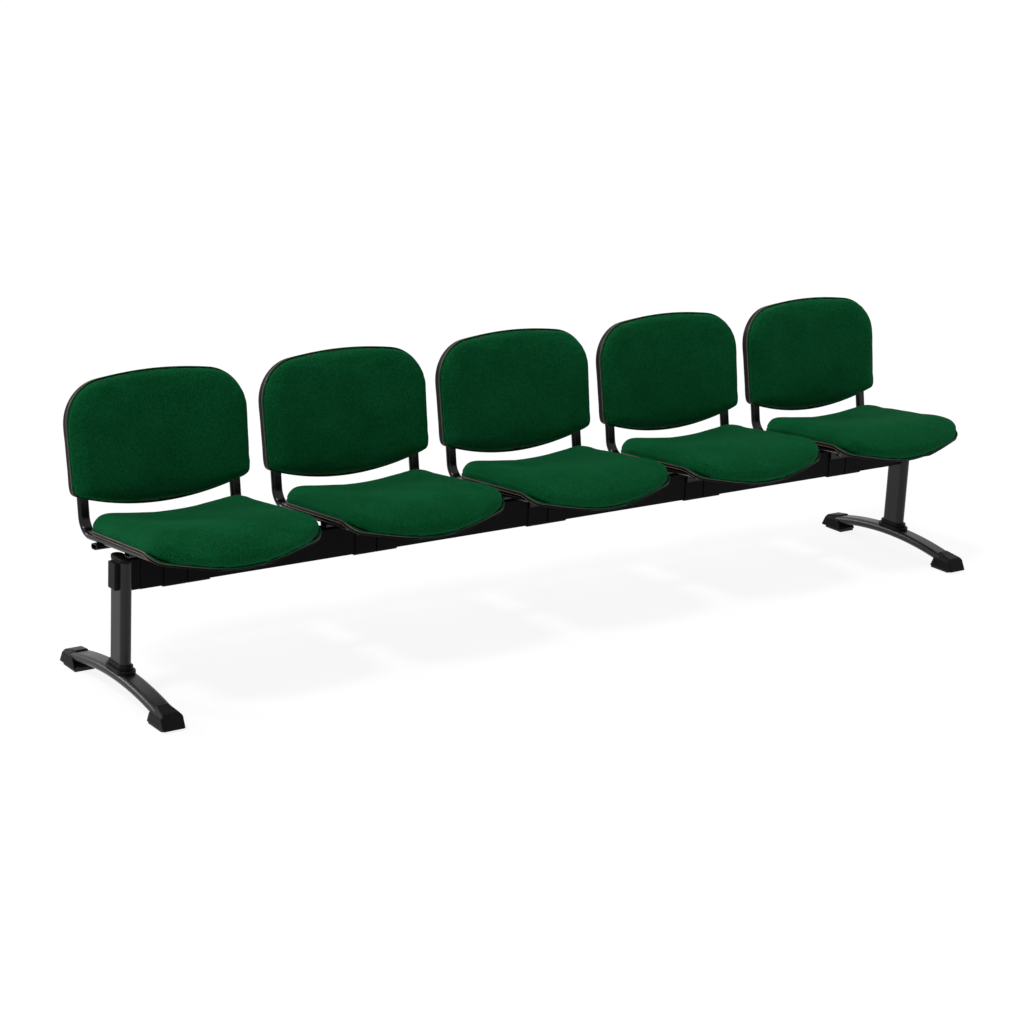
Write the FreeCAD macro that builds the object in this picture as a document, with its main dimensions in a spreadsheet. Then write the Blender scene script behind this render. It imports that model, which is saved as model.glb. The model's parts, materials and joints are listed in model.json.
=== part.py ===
import FreeCAD, Part

import math
import os
import re

import Sketcher

# Five-seat beam seating. X runs along the beam, the seats face -Y, +Z is up.
# The origin is on the floor under the middle of the beam. Lengths are in
# millimetres and angles in degrees.

SIZES = {
    # Layout
    "seat_pitch": 550.0,
    "leg_spacing": 2616.0,
    "fit_gap": 0.3,
    # Beam
    "beam_length": 2532.0,
    "beam_height": 80.0,
    "beam_depth": 40.0,
    "beam_wall": 2.5,
    "beam_corner": 4.0,
    "beam_under": 271.0,
    # Legs
    "upright_width": 30.0,
    "upright_depth": 73.0,
    "upright_wall": 2.0,
    "upright_top": 348.0,
    "lid_height": 9.0,
    "lid_overhang": 1.0,
    "lid_plug": 22.0,
    "foot_width": 54.0,
    "foot_thick": 24.0,
    "foot_wall": 2.0,
    "arch_radius": 1000.0,
    "arch_crown": 57.0,
    "arch_reach": 222.0,
    "lip_width": 48.0,
    "lip_depth": 104.0,
    "lip_height": 8.0,
    "tier_width": 38.0,
    "tier_depth": 88.0,
    "tier_height": 11.0,
    "collar_round": 2.5,
    # Joint between beam and leg
    "socket_inset": 3.0,
    "spigot_length": 70.0,
    "cover_height": 68.0,
    "cover_depth": 38.0,
    "cover_thick": 12.0,
    "cover_round": 3.0,
    "leg_bolt": 10.0,
    "leg_bolt_spread": 40.0,
    "leg_bolt_head": 7.0,
    # Foot end caps and pads
    "tip_reach": 280.0,
    "tip_length": 88.0,
    "tip_width": 60.0,
    "tip_shoulder": 33.0,
    "tip_mouth": 51.0,
    "tip_nose": 41.0,
    "tip_nose_slope": 18.0,
    "tip_mouth_slope": 20.0,
    "tip_roof_width": 30.0,
    "tip_wall": 3.0,
    "tip_ceiling": 30.0,
    "tip_clear": 5.0,
    "tip_round": 3.0,
    "pad_thick": 9.0,
    "pad_post": 22.0,
    # Seat pan, measured in the tilted plane of its rim
    "rim_height": 402.0,
    "seat_tilt": 6.0,
    "seat_rear": 165.0,
    "seat_rear_width": 452.0,
    "seat_front_width": 474.0,
    "seat_corner": 62.0,
    "seat_flat_front": 150.0,
    "fall_radius": 100.0,
    "fall_angle": 65.0,
    "seat_front_arc": 900.0,
    "seat_front_corner": 40.0,
    "dish_depth": 12.0,
    "dish_hold": 120.0,
    "seat_thick": 40.0,
    "seat_crown": 4.0,
    "seat_edge": 28.0,
    "pan_depth": 10.6,
    "pan_wall": 2.6,
    "pan_lip": 4.0,
    "pan_inset": 42.0,
    # Back, measured in its reclined plane
    "recline": 10.0,
    "back_rise": 97.0,
    "back_low": 42.0,
    "back_low_width": 494.0,
    "back_low_arc": 731.0,
    "back_low_corner": 20.0,
    "back_high_width": 500.0,
    "back_high": 291.0,
    "back_top_arc": 1080.0,
    "back_top_corner": 110.0,
    "back_hollow": 15.0,
    "back_thick": 28.0,
    "back_edge": 24.0,
    "back_board_thick": 6.0,
    "back_board_inset": 4.0,
    "back_shell_close": 14.0,
    "back_shell_wall": 2.5,
    "back_shell_round": 10.0,
    # Seat frame
    "tube_width": 30.0,
    "tube_thick": 15.0,
    "tube_wall": 2.0,
    "tube_spread": 428.0,
    "tube_front": 176.0,
    "bend_back": 186.0,
    "bend_radius": 48.0,
    "stay_length": 250.0,
    "front_bar_place": 35.0,
    "front_bar_length": 424.0,
    "rear_bar_place": 95.0,
    "rear_bar_length": 472.0,
    "boss_spread": 260.0,
    "boss_width": 24.0,
    # Clamp around the beam
    "clamp_offset": 40.0,
    "clamp_width": 128.0,
    "clamp_gap": 4.0,
    "strap_thick": 3.0,
    "saddle_thick": 4.0,
    "saddle_lip": 26.0,
    "gusset_thick": 4.0,
    "clamp_bolt": 8.0,
    "clamp_head": 13.0,
    "clamp_head_height": 5.3,
    "clamp_bolt_drop": 13.0,
    "clamp_bolt_reach": 16.0,
    # Screws
    "screw": 6.0,
    "screw_head": 12.0,
    "screw_head_height": 3.5,
    "screw_reach": 7.0,
    "stay_screw_low": 30.0,
    "stay_screw_high": 120.0,
}

SEATS = (1, 2, 3, 4, 5)
LEGS = {"left": -1, "right": 1}
ENDS = {"front": -1, "rear": 1}

doc = FreeCAD.newDocument("beam_seating")
sheet = doc.addObject("Spreadsheet::Sheet", "sizes")
for row, (word, value) in enumerate(SIZES.items(), start=1):
    sheet.set(f"A{row}", word)
    sheet.set(f"B{row}", str(value))
    sheet.setAlias(f"B{row}", word)
doc.recompute()

v = {word: float(getattr(sheet, word)) for word in SIZES}
ALIAS = re.compile(r"\b(" + "|".join(sorted(SIZES, key=len, reverse=True)) + r")\b")
parts = []


def bound(text):
    """Expression text with each size word pointing at its sheet cell."""
    return ALIAS.sub(r"sizes.\1", text)


def number(text):
    return float(sheet.evalExpression(bound(text)))


def vec(x, y, z):
    return FreeCAD.Vector(x, y, z)


def turn(axis, angle):
    return FreeCAD.Rotation(axis, angle)


X_AXIS = vec(1, 0, 0)
Y_AXIS = vec(0, 1, 0)
Z_AXIS = vec(0, 0, 1)


# Sketch and feature helpers

def body_named(label):
    body = doc.addObject("PartDesign::Body", label + "_body")
    body.Label = label
    return body


def sketch_on(body, role, name):
    plane = next(f for f in body.Origin.OriginFeatures if f.Role == role)
    sketch = body.newObject("Sketcher::SketchObject", name)
    sketch.AttachmentSupport = [(plane, "")]
    sketch.MapMode = "FlatFace"
    return sketch


def pin(sketch, geometry, end, x_text, y_text):
    """Hold one point of a sketch at a place given by two expressions."""
    for kind, text in (("DistanceX", x_text), ("DistanceY", y_text)):
        row = sketch.addConstraint(
            Sketcher.Constraint(kind, -1, 1, geometry, end, number(text))
        )
        sketch.setExpression(f"Constraints[{row}]", bound(text))


def polygon(sketch, corners):
    """Closed outline whose corners are pairs of expressions."""
    places = [vec(number(a), number(b), 0) for a, b in corners]
    first = sketch.GeometryCount
    count = len(places)
    for i, place in enumerate(places):
        sketch.addGeometry(Part.LineSegment(place, places[(i + 1) % count]), False)
    for i in range(count):
        end_to_start = Sketcher.Constraint("Coincident", first + i, 2, first + (i + 1) % count, 1)
        sketch.addConstraint(end_to_start)
    for i, (x_text, y_text) in enumerate(corners):
        pin(sketch, first + i, 1, x_text, y_text)


def rectangle(sketch, x_low, x_high, y_low, y_high):
    polygon(sketch, [(x_low, y_low), (x_high, y_low), (x_high, y_high), (x_low, y_high)])


def stadium(sketch, width, height, x_middle="0", y_middle="0"):
    """Flat oval: straight sides along the longer way, round at both ends."""
    wide = number(width) > number(height)
    radius = f"({height}) / 2" if wide else f"({width}) / 2"
    half = f"(({width}) - ({height})) / 2" if wide else f"(({height}) - ({width})) / 2"
    if wide:
        centres = [(f"{x_middle} + {half}", y_middle), (f"{x_middle} - {half}", y_middle)]
        start = -90
    else:
        centres = [(x_middle, f"{y_middle} + {half}"), (x_middle, f"{y_middle} - {half}")]
        start = 0
    size = number(radius)
    first = sketch.GeometryCount
    for i, (cx, cy) in enumerate(centres):
        circle = Part.Circle(vec(number(cx), number(cy), 0), Z_AXIS, size)
        low = math.radians(start + 180 * i)
        sketch.addGeometry(Part.ArcOfCircle(circle, low, low + math.pi), False)
    arcs = [sketch.Geometry[first], sketch.Geometry[first + 1]]
    sketch.addGeometry(Part.LineSegment(arcs[0].EndPoint, arcs[1].StartPoint), False)
    sketch.addGeometry(Part.LineSegment(arcs[1].EndPoint, arcs[0].StartPoint), False)
    for arc, line in ((0, 2), (1, 3)):
        following = 1 - arc
        joins = (
            ("Tangent", first + arc, 2, first + line, 1),
            ("Tangent", first + line, 2, first + following, 1),
        )
        for join in joins:
            sketch.addConstraint(Sketcher.Constraint(*join))
    for i, (cx, cy) in enumerate(centres):
        pin(sketch, first + i, 3, cx, cy)
    row = sketch.addConstraint(Sketcher.Constraint("Radius", first, size))
    sketch.setExpression(f"Constraints[{row}]", bound(radius))


def circle(sketch, x_text, y_text, diameter):
    radius = f"({diameter}) / 2"
    ring = Part.Circle(vec(number(x_text), number(y_text), 0), Z_AXIS, number(radius))
    index = sketch.addGeometry(ring, False)
    pin(sketch, index, 3, x_text, y_text)
    row = sketch.addConstraint(Sketcher.Constraint("Radius", index, number(radius)))
    sketch.setExpression(f"Constraints[{row}]", bound(radius))


def pad(body, sketch, length, both_sides=False, back=False):
    feature = body.newObject("PartDesign::Pad", sketch.Name + "_pad")
    feature.Profile = sketch
    feature.setExpression("Length", bound(length))
    feature.Midplane = both_sides
    feature.Reversed = back
    doc.recompute()
    return feature


def pocket(body, sketch, length, both_sides=False, back=False):
    """Cut a sketch out of a body, and make sure that the cut took material."""
    before = body.Shape.Volume
    feature = body.newObject("PartDesign::Pocket", sketch.Name + "_pocket")
    feature.Profile = sketch
    feature.setExpression("Length", bound(length))
    feature.Midplane = both_sides
    feature.Reversed = back
    doc.recompute()
    if body.Shape.Volume > before - 1:
        raise RuntimeError(f"{body.Label}: {sketch.Name} cuts nothing")
    return feature


def is_along(edge, axis):
    """True for a straight edge that runs along an axis."""
    if edge.Curve.TypeId != "Part::GeomLine":
        return False
    return abs(edge.tangentAt(edge.FirstParameter).dot(axis)) > 0.999


def is_outer_rim(edge, height, beyond):
    """True for a level edge at a height that goes out past a distance in X."""
    box = edge.BoundBox
    level = box.ZLength < 0.01 and abs(box.ZMin - height) < 0.01
    return level and max(-box.XMin, box.XMax) > beyond + 0.01


def fillet(body, feature, radius, chosen):
    names = [f"Edge{i + 1}" for i, edge in enumerate(feature.Shape.Edges) if chosen(edge)]
    rounding = body.newObject("PartDesign::Fillet", feature.Name + "_fillet")
    rounding.Base = (feature, names)
    rounding.setExpression("Radius", bound(radius))
    doc.recompute()
    return rounding


def feature_of(shape, name):
    item = doc.addObject("Part::Feature", name)
    item.Shape = shape
    return item


def keep(item, label):
    """Note a finished sub-part under the name of its file."""
    item.Label = label
    parts.append(item)
    return item


def group(label, members):
    compound = doc.addObject("Part::Compound", label + "_group")
    compound.Links = members
    doc.recompute()
    return keep(compound, label)


def cut(name, base, tool):
    result = doc.addObject("Part::Cut", name)
    result.Base = base
    result.Tool = tool
    doc.recompute()
    return result


# Places that several sub-parts share

def seat_x(seat):
    return (seat - 3) * v["seat_pitch"]


def seat_place(seat):
    """Frame of the tilted rim plane: Y to the rear, Z square to the plane."""
    return FreeCAD.Placement(
        vec(seat_x(seat), 0, v["rim_height"]), turn(X_AXIS, -v["seat_tilt"])
    )


def stay_corner(seat):
    """Where the centre lines of the seat run and the stay would meet."""
    depth = v["pan_depth"] + v["fit_gap"] + v["tube_thick"] / 2
    return seat_place(seat).multVec(vec(0, v["bend_back"], -depth))


def back_rim(across):
    """Forward rise of the hollowed back at a distance from its middle."""
    half = v["back_high_width"] / 2
    radius = (half**2 + v["back_hollow"] ** 2) / (2 * v["back_hollow"])
    return radius - math.sqrt(radius**2 - across**2)


def back_forward():
    """How far the rim surface of the back lies ahead of the stay, mid-width."""
    at_stay = back_rim((v["tube_spread"] - v["tube_width"] + v["tube_thick"]) / 2)
    behind = v["back_board_thick"] + v["fit_gap"] + v["tube_thick"] / 2
    return behind - at_stay


def back_place(seat):
    """Frame of the reclined back: Z up along the stay, -Y towards the sitter."""
    spin = turn(X_AXIS, -v["recline"])
    shift = spin.multVec(vec(0, -back_forward(), v["back_rise"]))
    return FreeCAD.Placement(stay_corner(seat) + shift, spin)


def leg_x(side):
    return side * v["leg_spacing"] / 2




# Beam and legs

BEAM_TOP = "(beam_under + beam_height)"
BEAM_MIDDLE = "(beam_under + beam_height / 2)"
LEG_FACE = "(leg_spacing / 2 - upright_width / 2)"


def clamp_bolt_places():
    """Middle of each strap half along the beam, from the seat's middle."""
    half = "(clamp_width + clamp_gap) / 4"
    return [f"- clamp_offset - {half}", f"- clamp_offset + {half}"]


def leg_bolt_heights():
    return [f"{BEAM_MIDDLE} - leg_bolt_spread / 2", f"{BEAM_MIDDLE} + leg_bolt_spread / 2"]


def make_beam():
    body = body_named("beam")
    section = sketch_on(body, "YZ_Plane", "beam_section")
    rectangle(section, "-beam_depth / 2", "beam_depth / 2", "beam_under", BEAM_TOP)
    solid = pad(body, section, "beam_length", both_sides=True)
    fillet(body, solid, "beam_corner", lambda edge: is_along(edge, X_AXIS))
    bore = sketch_on(body, "YZ_Plane", "beam_bore")
    rectangle(
        bore,
        "-beam_depth / 2 + beam_wall",
        "beam_depth / 2 - beam_wall",
        "beam_under + beam_wall",
        f"{BEAM_TOP} - beam_wall",
    )
    pocket(body, bore, "beam_length + 2", both_sides=True)
    holes = sketch_on(body, "XZ_Plane", "beam_holes")
    for seat in SEATS:
        for offset in clamp_bolt_places():
            circle(
                holes,
                f"({seat - 3}) * seat_pitch {offset}",
                f"{BEAM_TOP} - clamp_bolt_drop",
                "clamp_bolt + 2 * fit_gap",
            )
    pocket(body, holes, "beam_depth + 2", both_sides=True)
    keep(body, "beam")


def foot_sweep(name, side, wall):
    """Arched flat-oval bar, turned about an axis far below the floor."""
    body = body_named(name)
    section = sketch_on(body, "XZ_Plane", name + "_section")
    stadium(section, f"foot_width - 2 * {wall}", f"foot_thick - 2 * {wall}", "0", "arch_radius")
    arch = body.newObject("PartDesign::Revolution", name + "_arch")
    arch.Profile = section
    arch.ReferenceAxis = (section, ["H_Axis"])
    arch.Midplane = True
    arch.setExpression("Angle", bound("2 * asin(arch_reach / arch_radius)"))
    drop = v["arch_crown"] - v["arch_radius"]
    body.Placement = FreeCAD.Placement(vec(leg_x(side), 0, drop), FreeCAD.Rotation())
    doc.recompute()
    return body


def make_foot(name, side):
    outer = foot_sweep(f"{name}_foot_outer", side, "0")
    bore = foot_sweep(f"{name}_foot_bore", side, "foot_wall")
    keep(cut(f"{name}_foot_cut", outer, bore), f"{name}_foot_tube")
    return outer


def make_upright(name, side, foot):
    """Flat-oval post whose lower end is cut to sit on the arched foot."""
    body = body_named(f"{name}_upright_blank")
    outline = sketch_on(body, "XY_Plane", f"{name}_upright_outline")
    stadium(outline, "upright_width", "upright_depth")
    pad(body, outline, "upright_top")
    below = sketch_on(body, "XY_Plane", f"{name}_upright_below")
    stadium(below, "upright_width + 2", "upright_depth + 2")
    pocket(body, below, "arch_crown", back=True)
    bore = sketch_on(body, "XY_Plane", f"{name}_upright_bore")
    stadium(bore, "upright_width - 2 * upright_wall", "upright_depth - 2 * upright_wall")
    pocket(body, bore, "upright_top + 1", back=True)
    holes = sketch_on(body, "YZ_Plane", f"{name}_upright_holes")
    for height in leg_bolt_heights():
        circle(holes, "0", height, "leg_bolt + 2 * fit_gap")
    pocket(body, holes, "upright_width + 2", both_sides=True)
    body.Placement = FreeCAD.Placement(vec(leg_x(side), 0, 0), FreeCAD.Rotation())
    keep(cut(f"{name}_upright_cut", body, foot), f"{name}_upright")


def make_collar(name, side, foot):
    """Two-step moulded ring that covers the weld between post and foot."""
    body = body_named(f"{name}_collar_blank")
    lip_top = "(arch_crown + foot_thick / 2 + lip_height)"
    lip = sketch_on(body, "XY_Plane", f"{name}_collar_lip")
    stadium(lip, "lip_width", "lip_depth")
    pad(body, lip, lip_top)
    tier = sketch_on(body, "XY_Plane", f"{name}_collar_tier")
    stadium(tier, "tier_width", "tier_depth")
    solid = pad(body, tier, f"{lip_top} + tier_height")
    top = number(lip_top)
    top_rim = lambda edge: is_outer_rim(edge, top + v["tier_height"], 0)
    lip_rim = lambda edge: is_outer_rim(edge, top, v["tier_width"] / 2)
    fillet(body, solid, "collar_round", lambda edge: top_rim(edge) or lip_rim(edge))
    bore = sketch_on(body, "XY_Plane", f"{name}_collar_bore")
    stadium(bore, "upright_width + 2 * fit_gap", "upright_depth + 2 * fit_gap")
    pocket(body, bore, f"{lip_top} + tier_height + 1", back=True)
    below = sketch_on(body, "XY_Plane", f"{name}_collar_below")
    stadium(below, "lip_width + 2", "lip_depth + 2")
    pocket(body, below, "arch_crown", back=True)
    body.Placement = FreeCAD.Placement(vec(leg_x(side), 0, 0), FreeCAD.Rotation())
    keep(cut(f"{name}_collar_cut", body, foot), f"{name}_collar")


def make_lid(name, side):
    """Plastic lid on top of the post, with a plug that fills its mouth."""
    body = body_named(f"{name}_top_cap")
    rim = sketch_on(body, "XY_Plane", f"{name}_lid_rim")
    stadium(rim, "upright_width + 2 * lid_overhang", "upright_depth + 2 * lid_overhang")
    solid = pad(body, rim, "lid_height")
    fillet(body, solid, "lid_height / 3", lambda edge: is_outer_rim(edge, v["lid_height"], 0))
    plug = sketch_on(body, "XY_Plane", f"{name}_lid_plug")
    inset = "2 * (upright_wall + fit_gap)"
    stadium(plug, f"upright_width - {inset}", f"upright_depth - {inset}")
    pad(body, plug, "lid_plug", back=True)
    body.Placement = FreeCAD.Placement(vec(leg_x(side), 0, v["upright_top"]), FreeCAD.Rotation())
    keep(body, f"{name}_top_cap")


def make_socket(name, side):
    """Block between post and beam, with a spigot that goes inside the beam."""
    body = body_named(f"{name}_beam_socket")
    stand_off = f"{LEG_FACE} - beam_length / 2"
    spigot = sketch_on(body, "YZ_Plane", f"{name}_socket_spigot")
    inset = "(beam_wall + fit_gap)"
    rectangle(
        spigot,
        f"-beam_depth / 2 + {inset}",
        f"beam_depth / 2 - {inset}",
        f"beam_under + {inset}",
        f"{BEAM_TOP} - {inset}",
    )
    pad(body, spigot, f"{stand_off} + spigot_length", back=side > 0)
    block = sketch_on(body, "YZ_Plane", f"{name}_socket_block")
    rectangle(
        block,
        "-beam_depth / 2 + socket_inset / 2",
        "beam_depth / 2 - socket_inset / 2",
        "beam_under + socket_inset / 2",
        f"{BEAM_TOP} - socket_inset / 2",
    )
    pad(body, block, stand_off, back=side > 0)
    bores = sketch_on(body, "YZ_Plane", f"{name}_socket_bores")
    for height in leg_bolt_heights():
        circle(bores, "0", height, "leg_bolt + 2 * fit_gap")
    pocket(body, bores, f"{stand_off} + 1", back=side < 0)
    face = side * number(LEG_FACE)
    body.Placement = FreeCAD.Placement(vec(face, 0, 0), FreeCAD.Rotation())
    keep(body, f"{name}_beam_socket")


def make_cover(name, side):
    """Moulded block that hides the two bolt heads on the outside of the post."""
    body = body_named(f"{name}_bolt_cover")
    outline = sketch_on(body, "YZ_Plane", f"{name}_cover_outline")
    rectangle(
        outline,
        "-cover_depth / 2",
        "cover_depth / 2",
        f"{BEAM_MIDDLE} - cover_height / 2",
        f"{BEAM_MIDDLE} + cover_height / 2",
    )
    solid = pad(body, outline, "cover_thick", back=side < 0)
    outer = side * v["cover_thick"]
    on_face = lambda edge: abs(edge.CenterOfMass.x - outer) < 0.01 or is_along(edge, X_AXIS)
    fillet(body, solid, "cover_round", on_face)
    wells = sketch_on(body, "YZ_Plane", f"{name}_cover_wells")
    for height in leg_bolt_heights():
        circle(wells, "0", height, "2 * leg_bolt + 4 * fit_gap")
    pocket(body, wells, "leg_bolt_head + fit_gap", back=side > 0)
    face = side * (v["leg_spacing"] + v["upright_width"]) / 2
    body.Placement = FreeCAD.Placement(vec(face, 0, 0), FreeCAD.Rotation())
    keep(body, f"{name}_bolt_cover")


def make_tip(name, side, end, foot):
    """Hooded end cap of a foot, open underneath and towards the post."""
    body = body_named(f"{name}_blank")
    outline = sketch_on(body, "YZ_Plane", f"{name}_outline")
    polygon(
        outline,
        [
            ("-tip_reach", "tip_clear"),
            ("-tip_reach + tip_nose_slope", "tip_nose"),
            ("-tip_reach + tip_length - tip_mouth_slope", "tip_mouth"),
            ("-tip_reach + tip_length", "tip_clear"),
        ],
    )
    pad(body, outline, "tip_width", both_sides=True)
    facets = sketch_on(body, "XZ_Plane", f"{name}_facets")
    for x_side in (-1, 1):
        polygon(
            facets,
            [
                (f"{x_side} * tip_roof_width / 2", "tip_mouth"),
                (f"{x_side} * tip_width / 2", "tip_shoulder"),
                (f"{x_side} * (tip_width / 2 + 1)", "tip_shoulder"),
                (f"{x_side} * (tip_width / 2 + 1)", "tip_mouth + 1"),
                (f"{x_side} * tip_roof_width / 2", "tip_mouth + 1"),
            ],
        )
    shaped = pocket(body, facets, "2 * tip_reach + 2", both_sides=True)
    upper = lambda edge: edge.BoundBox.ZMin > v["tip_clear"] + 1 or edge.BoundBox.YMax < (
        -v["tip_reach"] + v["tip_nose_slope"] + 1
    )
    high = lambda edge: edge.BoundBox.ZMax > v["tip_shoulder"] - 1
    fillet(body, shaped, "tip_round", lambda edge: upper(edge) and high(edge))
    hollow = sketch_on(body, "XZ_Plane", f"{name}_hollow")
    rectangle(hollow, "-tip_width / 2 + tip_wall", "tip_width / 2 - tip_wall", "-1", "tip_ceiling")
    pocket(body, hollow, "tip_reach - tip_nose_slope", back=True)
    spin = turn(Z_AXIS, 0 if end < 0 else 180)
    body.Placement = FreeCAD.Placement(vec(leg_x(side), 0, 0), spin)
    return cut(f"{name}_cut", body, foot)


def make_pad(name, side, end):
    """Rubber sole inside an end cap, with a post up to the cap's ceiling."""
    body = body_named(name)
    plate = sketch_on(body, "XY_Plane", f"{name}_plate")
    rectangle(
        plate,
        "-tip_width / 2 + tip_wall + fit_gap",
        "tip_width / 2 - tip_wall - fit_gap",
        "-tip_reach + tip_nose_slope + fit_gap",
        "-tip_reach + tip_length - tip_wall",
    )
    pad(body, plate, "pad_thick")
    post = sketch_on(body, "XY_Plane", f"{name}_post")
    front = "-tip_reach + tip_nose_slope + 2 * tip_wall"
    rectangle(post, "-pad_post / 2", "pad_post / 2", front, f"{front} + pad_post")
    pad(body, post, "tip_ceiling")
    spin = turn(Z_AXIS, 0 if end < 0 else 180)
    body.Placement = FreeCAD.Placement(vec(leg_x(side), 0, 0), spin)
    return body


# Fasteners

def hex_bolt(name, shank, head, head_height, reach):
    """Bolt that points down -Z from under its head, which stands on +Z."""
    body = body_named(name)
    nut = sketch_on(body, "XY_Plane", f"{name}_head")
    corners = []
    for i in range(6):
        angle = 30 + 60 * i
        radius = f"({head}) / 2 / cos(30)"
        corners.append((f"{radius} * cos({angle})", f"{radius} * sin({angle})"))
    polygon(nut, corners)
    pad(body, nut, head_height)
    stem = sketch_on(body, "XY_Plane", f"{name}_stem")
    circle(stem, "0", "0", shank)
    pad(body, stem, reach, back=True)
    return body


def copies(label, master, places):
    """Identical fasteners, each a separate solid, under one name."""
    shapes = []
    for place in places:
        shape = master.Shape.copy()
        shape.Placement = place.multiply(shape.Placement)
        shapes.append(shape)
    keep(feature_of(Part.makeCompound(shapes), label + "_set"), label)


def make_leg_bolts():
    reach = f"upright_width + {LEG_FACE} - beam_length / 2 - fit_gap"
    master = hex_bolt("leg_bolt_master", "leg_bolt", "1.7 * leg_bolt", "leg_bolt_head", reach)
    places = []
    for side in LEGS.values():
        face = side * (v["leg_spacing"] + v["upright_width"]) / 2
        for height in leg_bolt_heights():
            outward = turn(Y_AXIS, 90 * side)
            places.append(FreeCAD.Placement(vec(face, 0, number(height)), outward))
    copies("leg_bolts", master, places)


def make_clamp_bolts():
    master = hex_bolt(
        "clamp_bolt_master", "clamp_bolt", "clamp_head", "clamp_head_height", "clamp_bolt_reach"
    )
    face = v["beam_depth"] / 2 + v["strap_thick"] + v["saddle_thick"]
    height = number(f"{BEAM_TOP} - clamp_bolt_drop")
    places = []
    for seat in SEATS:
        for offset in clamp_bolt_places():
            for end in ENDS.values():
                spot = vec(seat_x(seat) + number(offset), end * face, height)
                places.append(FreeCAD.Placement(spot, turn(X_AXIS, -90 * end)))
    copies("clamp_bolts", master, places)


def make_seat_screws():
    """Screws up through the cross bars and the pan's bosses into the board."""
    reach = "2 * tube_thick + fit_gap + screw_reach"
    master = hex_bolt("seat_screw_master", "screw", "screw_head", "screw_head_height", reach)
    under = -(v["pan_depth"] + v["fit_gap"] + 2 * v["tube_thick"])
    flip = turn(X_AXIS, 180)
    places = []
    for seat in SEATS:
        for y in (-v["front_bar_place"], v["rear_bar_place"]):
            for x_side in (-1, 1):
                spot = vec(x_side * v["boss_spread"] / 2, y, under)
                places.append(seat_place(seat).multiply(FreeCAD.Placement(spot, flip)))
    copies("seat_screws", master, places)


def make_back_screws():
    """Screws forward through the stays into the board of the back."""
    reach = "back_shell_wall + tube_thick + 2 * fit_gap + back_board_thick - 1"
    master = hex_bolt("back_screw_master", "screw", "screw_head", "screw_head_height", reach)
    behind = back_forward() + v["tube_thick"] / 2 + v["fit_gap"] + v["back_shell_wall"]
    spin = turn(X_AXIS, -90)
    places = []
    for seat in SEATS:
        for z in (v["stay_screw_low"], v["stay_screw_high"]):
            for x_side in (-1, 1):
                spot = vec(x_side * v["tube_spread"] / 2, behind, z)
                places.append(back_place(seat).multiply(FreeCAD.Placement(spot, spin)))
    copies("back_screws", master, places)


# Seat frame: two bent side tubes, two cross bars and a saddle

def make_side_tube(name, seat, x_side):
    body = body_named(name)
    ring = sketch_on(body, "XZ_Plane", name + "_ring")
    stadium(ring, "tube_width", "tube_thick")
    stadium(ring, "tube_width - 2 * tube_wall", "tube_thick - 2 * tube_wall")
    path = sketch_on(body, "YZ_Plane", name + "_path")
    rise = "(90 - recline + seat_tilt)"
    corner = "(tube_front + bend_back)"
    lead = f"bend_radius * tan({rise} / 2)"
    start = vec(0, 0, 0)
    bend = vec(number(f"{corner} - {lead}"), 0, 0)
    hub = bend + vec(0, v["bend_radius"], 0)
    end_x = f"{corner} + stay_length * cos({rise})"
    end_y = f"stay_length * sin({rise})"
    path.addGeometry(Part.LineSegment(start, bend), False)
    low = math.radians(-90)
    high = math.radians(-90 + number(rise))
    arc = Part.ArcOfCircle(Part.Circle(hub, Z_AXIS, v["bend_radius"]), low, high)
    path.addGeometry(arc, False)
    path.addGeometry(Part.LineSegment(arc.EndPoint, vec(number(end_x), number(end_y), 0)), False)
    path.addConstraint(Sketcher.Constraint("Coincident", 0, 2, 1, 1))
    path.addConstraint(Sketcher.Constraint("Tangent", 1, 2, 2, 1))
    pin(path, 0, 1, "0", "0")
    pin(path, 1, 3, f"{corner} - {lead}", "bend_radius")
    pin(path, 1, 1, f"{corner} - {lead}", "0")
    pin(path, 2, 2, end_x, end_y)
    doc.recompute()
    tube = body.newObject("PartDesign::AdditivePipe", name + "_pipe")
    tube.Profile = ring
    tube.Spine = (path, ["Edge1", "Edge2", "Edge3"])
    doc.recompute()
    depth = v["pan_depth"] + v["fit_gap"] + v["tube_thick"] / 2
    spot = vec(x_side * v["tube_spread"] / 2, -v["tube_front"], -depth)
    body.Placement = seat_place(seat).multiply(FreeCAD.Placement(spot, FreeCAD.Rotation()))
    return body


def make_cross_bar(name, seat, length, place):
    body = body_named(name)
    ring = sketch_on(body, "YZ_Plane", name + "_ring")
    stadium(ring, "tube_width", "tube_thick")
    stadium(ring, "tube_width - 2 * tube_wall", "tube_thick - 2 * tube_wall")
    pad(body, ring, length, both_sides=True)
    holes = sketch_on(body, "XY_Plane", name + "_holes")
    for x_side in (-1, 1):
        circle(holes, f"{x_side} * boss_spread / 2", "0", "screw + 2 * fit_gap")
    pocket(body, holes, "tube_thick + 2", both_sides=True)
    depth = v["pan_depth"] + v["fit_gap"] + 1.5 * v["tube_thick"]
    spot = FreeCAD.Placement(vec(0, place, -depth), FreeCAD.Rotation())
    body.Placement = seat_place(seat).multiply(spot)
    return body


def bar_underside(y_text):
    """Height of the plane under both cross bars, at a distance to the rear."""
    fall = "(pan_depth + fit_gap + 2 * tube_thick) / cos(seat_tilt)"
    return f"rim_height - ({y_text}) * tan(seat_tilt) - {fall}"


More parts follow.
